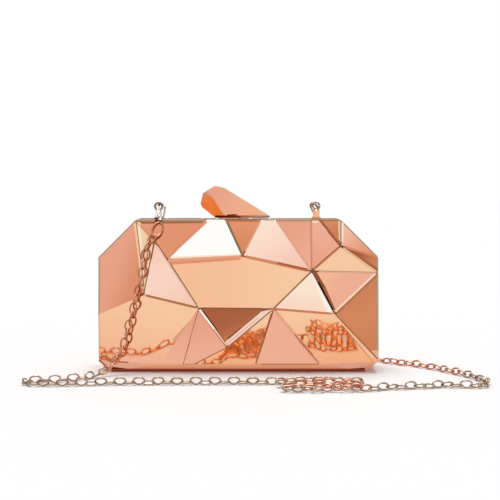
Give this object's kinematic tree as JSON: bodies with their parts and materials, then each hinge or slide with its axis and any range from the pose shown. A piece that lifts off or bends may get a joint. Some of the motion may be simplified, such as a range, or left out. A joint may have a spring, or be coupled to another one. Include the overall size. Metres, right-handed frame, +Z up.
{
  "type": "evening clutch bag",
  "caption": "Hard two-part evening clutch with a faceted mirror face, a tilting gem clasp on top and a link chain clipped to two strap eyes.",
  "frame": {"origin": "under the middle of the closed case, on the surface that it stands on", "axes": "+X along the case's length to the right as seen from the front, +Y from the front face to the back, +Z up"},
  "size_m": [0.3181, 0.1287, 0.1334],
  "materials": {
    "shell_metal": "polished rose gold",
    "mirror_plate": "rose-gold mirror on acrylic sheet",
    "frame_metal": "polished rose gold",
    "gem_metal": "polished rose gold",
    "chain_metal": "polished antique rose gold",
    "spring_steel": "drawn wire",
    "lining_cloth": "satin over board"
  },
  "bodies": {
    "front_half": {"front_frame": "frame_metal", "front_shell": "shell_metal", "front_lining": "lining_cloth", "front_mirror_left_splinter": "mirror_plate", "front_mirror_left_fin": "mirror_plate", "front_mirror_top_left": "mirror_plate", "front_mirror_top_centre": "mirror_plate", "front_mirror_top_wedge": "mirror_plate", "front_mirror_top_inner_right": "mirror_plate", "front_mirror_top_right": "mirror_plate", "front_mirror_top_outer_right": "mirror_plate", "front_mirror_corner_wedge": "mirror_plate", "front_mirror_shoulder_upper": "mirror_plate", "front_mirror_shoulder_lower": "mirror_plate", "front_mirror_right_fin": "mirror_plate", "front_mirror_right_inner": "mirror_plate", "front_mirror_right_centre": "mirror_plate", "front_mirror_centre": "mirror_plate", "front_mirror_centre_wedge": "mirror_plate", "front_mirror_right_flank": "mirror_plate", "front_mirror_lower_left": "mirror_plate", "front_mirror_lower_right": "mirror_plate", "hinge_leaf_front": "frame_metal", "hinge_pin": "spring_steel", "clasp_bracket": "frame_metal", "clasp_pin": "spring_steel", "clasp_spring": "spring_steel", "left_strap_post": "frame_metal", "left_claw": "frame_metal", "chain": "chain_metal"},
    "back_half": {"back_frame": "frame_metal", "back_shell": "shell_metal", "back_lining": "lining_cloth", "back_mirror_left_splinter": "mirror_plate", "back_mirror_left_fin": "mirror_plate", "back_mirror_top_left": "mirror_plate", "back_mirror_top_centre": "mirror_plate", "back_mirror_top_wedge": "mirror_plate", "back_mirror_top_inner_right": "mirror_plate", "back_mirror_top_right": "mirror_plate", "back_mirror_top_outer_right": "mirror_plate", "back_mirror_corner_wedge": "mirror_plate", "back_mirror_shoulder_upper": "mirror_plate", "back_mirror_shoulder_lower": "mirror_plate", "back_mirror_right_fin": "mirror_plate", "back_mirror_right_inner": "mirror_plate", "back_mirror_right_centre": "mirror_plate", "back_mirror_centre": "mirror_plate", "back_mirror_centre_wedge": "mirror_plate", "back_mirror_right_flank": "mirror_plate", "back_mirror_lower_left": "mirror_plate", "back_mirror_lower_right": "mirror_plate", "hinge_leaf_back": "frame_metal", "catch_plate": "frame_metal", "right_strap_post": "frame_metal", "right_claw": "frame_metal", "chain_back_run": "chain_metal"},
    "gem": {"clasp_gem": "gem_metal"},
    "left_gate": {"left_claw_lever": "frame_metal"},
    "right_gate": {"right_claw_lever": "frame_metal"}
  },
  "joints": [
    {"name": "case_opening", "type": "hinge", "parent": "front_half", "child": "back_half", "pos_m": [0, 0, 0.0023], "axis": [-1, 0, 0], "range_deg": [0, 80]},
    {"name": "gem_tilt", "type": "hinge", "parent": "front_half", "child": "gem", "pos_m": [-0.006, -0.002, 0.112], "axis": [1, 0, 0], "range_deg": [0, 14], "stiffness_Nm_per_rad": 0.05, "springref_deg": -17.19},
    {"name": "left_gate_swing", "type": "hinge", "parent": "front_half", "child": "left_gate", "pos_m": [-0.05315, -0.01642, 0.1109], "axis": [0, -0.7071, 0.7071], "range_deg": [0, 22], "stiffness_Nm_per_rad": 0.002, "springref_deg": -17.19},
    {"name": "right_gate_swing", "type": "hinge", "parent": "back_half", "child": "right_gate", "pos_m": [0.05681, 0.01732, 0.1109], "axis": [0.2988, 0.6409, 0.7071], "range_deg": [0, 22], "stiffness_Nm_per_rad": 0.002, "springref_deg": -17.19}
  ]
}
